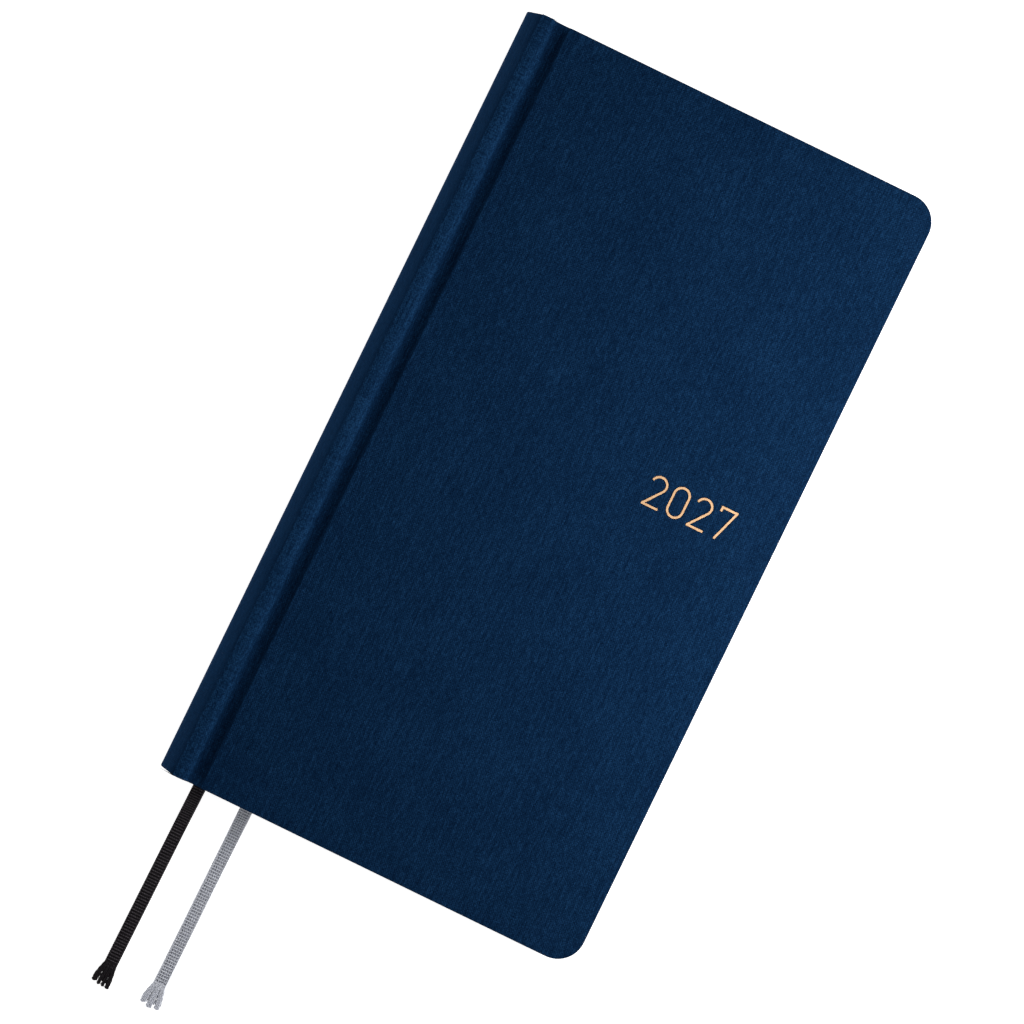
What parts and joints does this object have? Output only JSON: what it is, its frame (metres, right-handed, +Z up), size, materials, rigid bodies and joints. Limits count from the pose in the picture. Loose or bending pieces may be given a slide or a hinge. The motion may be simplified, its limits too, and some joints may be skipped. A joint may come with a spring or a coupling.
{
  "type": "pocket logbook",
  "caption": "Slim navy cloth-bound pocket logbook with hinged covers, sewn pages, a foil-stamped year and ribbon markers.",
  "frame": {"origin": "centre of the closed book's footprint, at the level it lies on", "axes": "+Y towards the head of the book, +X from the spine towards the fore-edge, +Z up out of the front cover"},
  "size_m": [0.1024, 0.2405, 0.0126],
  "materials": {
    "book_cloth": "fine woven navy book cloth with a low sheen",
    "greyboard": "bare grey pulp board",
    "page_paper": "uncoated cream writing paper with fine ruling",
    "endpaper": "heavier uncoated endpaper",
    "stamping_foil": "pale rose-gold hot-stamping foil, satin",
    "black_braid": "flat braided black ribbon",
    "grey_braid": "flat open-braided light grey ribbon",
    "linen_thread": "waxed sewing thread",
    "dried_glue": "dried white bookbinding glue",
    "gauze": "open cotton gauze",
    "kraft_paper": "brown kraft paper",
    "band_cotton": "striped cotton band"
  },
  "bodies": {
    "text_block": {"spine_cloth": "book_cloth", "spine_card": "greyboard", "section_01_fold": "page_paper", "section_02_fold": "page_paper", "section_03_fold": "page_paper", "section_04": "page_paper", "section_05": "page_paper", "section_06": "page_paper", "section_07": "page_paper", "front_flyleaf_strip": "endpaper", "back_flyleaf": "endpaper", "sewing_threads": "linen_thread", "spine_glue": "dried_glue", "spine_mull": "gauze", "spine_lining": "kraft_paper", "head_band": "band_cotton", "tail_band": "band_cotton", "black_ribbon_inner": "black_braid", "grey_ribbon_inner": "grey_braid", "black_ribbon": "black_braid", "grey_ribbon": "grey_braid", "black_ribbon_end": "black_braid", "grey_ribbon_end": "grey_braid"},
    "front_cover": {"front_board": "greyboard", "front_cover_cloth": "book_cloth", "front_pastedown": "endpaper", "front_joint_cloth": "book_cloth", "front_endpaper_joint": "endpaper", "foil_year": "stamping_foil"},
    "back_cover": {"back_board": "greyboard", "back_cover_cloth": "book_cloth", "back_pastedown": "endpaper", "back_joint_cloth": "book_cloth", "back_endpaper_joint": "endpaper"},
    "front_flyleaf_leaf": {"front_flyleaf": "endpaper"},
    "leaves_01": {"section_01_leaves": "page_paper"},
    "leaves_02": {"section_02_leaves": "page_paper"},
    "leaves_03": {"section_03_leaves": "page_paper"}
  },
  "joints": [
    {"name": "front_cover_open", "type": "hinge", "parent": "text_block", "child": "front_cover", "pos_m": [-0.0463, 0, 0.01098], "axis": [0, -1, 0], "range_deg": [0, 180], "deforming": ["front_joint_cloth", "front_endpaper_joint"]},
    {"name": "back_cover_open", "type": "hinge", "parent": "text_block", "child": "back_cover", "pos_m": [-0.0463, 0, 0.00102], "axis": [0, 1, 0], "range_deg": [0, 180], "deforming": ["back_joint_cloth", "back_endpaper_joint"]},
    {"name": "front_flyleaf_turn", "type": "hinge", "parent": "text_block", "child": "front_flyleaf_leaf", "pos_m": [-0.0463, 0, 0.01098], "axis": [0, -1, 0], "range_deg": [0, 180]},
    {"name": "leaves_01_turn", "type": "hinge", "parent": "text_block", "child": "leaves_01", "pos_m": [-0.0463, 0, 0.01098], "axis": [0, -1, 0], "range_deg": [0, 180]},
    {"name": "leaves_02_turn", "type": "hinge", "parent": "text_block", "child": "leaves_02", "pos_m": [-0.0463, 0, 0.01098], "axis": [0, -1, 0], "range_deg": [0, 180]},
    {"name": "leaves_03_turn", "type": "hinge", "parent": "text_block", "child": "leaves_03", "pos_m": [-0.0463, 0, 0.01098], "axis": [0, -1, 0], "range_deg": [0, 180]}
  ],
  "couplings": [
    {"joint": "front_flyleaf_turn", "follows": "front_cover_open", "ratio": 0.995},
    {"joint": "leaves_01_turn", "follows": "front_cover_open", "ratio": 0.99},
    {"joint": "leaves_02_turn", "follows": "front_cover_open", "ratio": 0.985},
    {"joint": "leaves_03_turn", "follows": "front_cover_open", "ratio": 0.98}
  ]
}
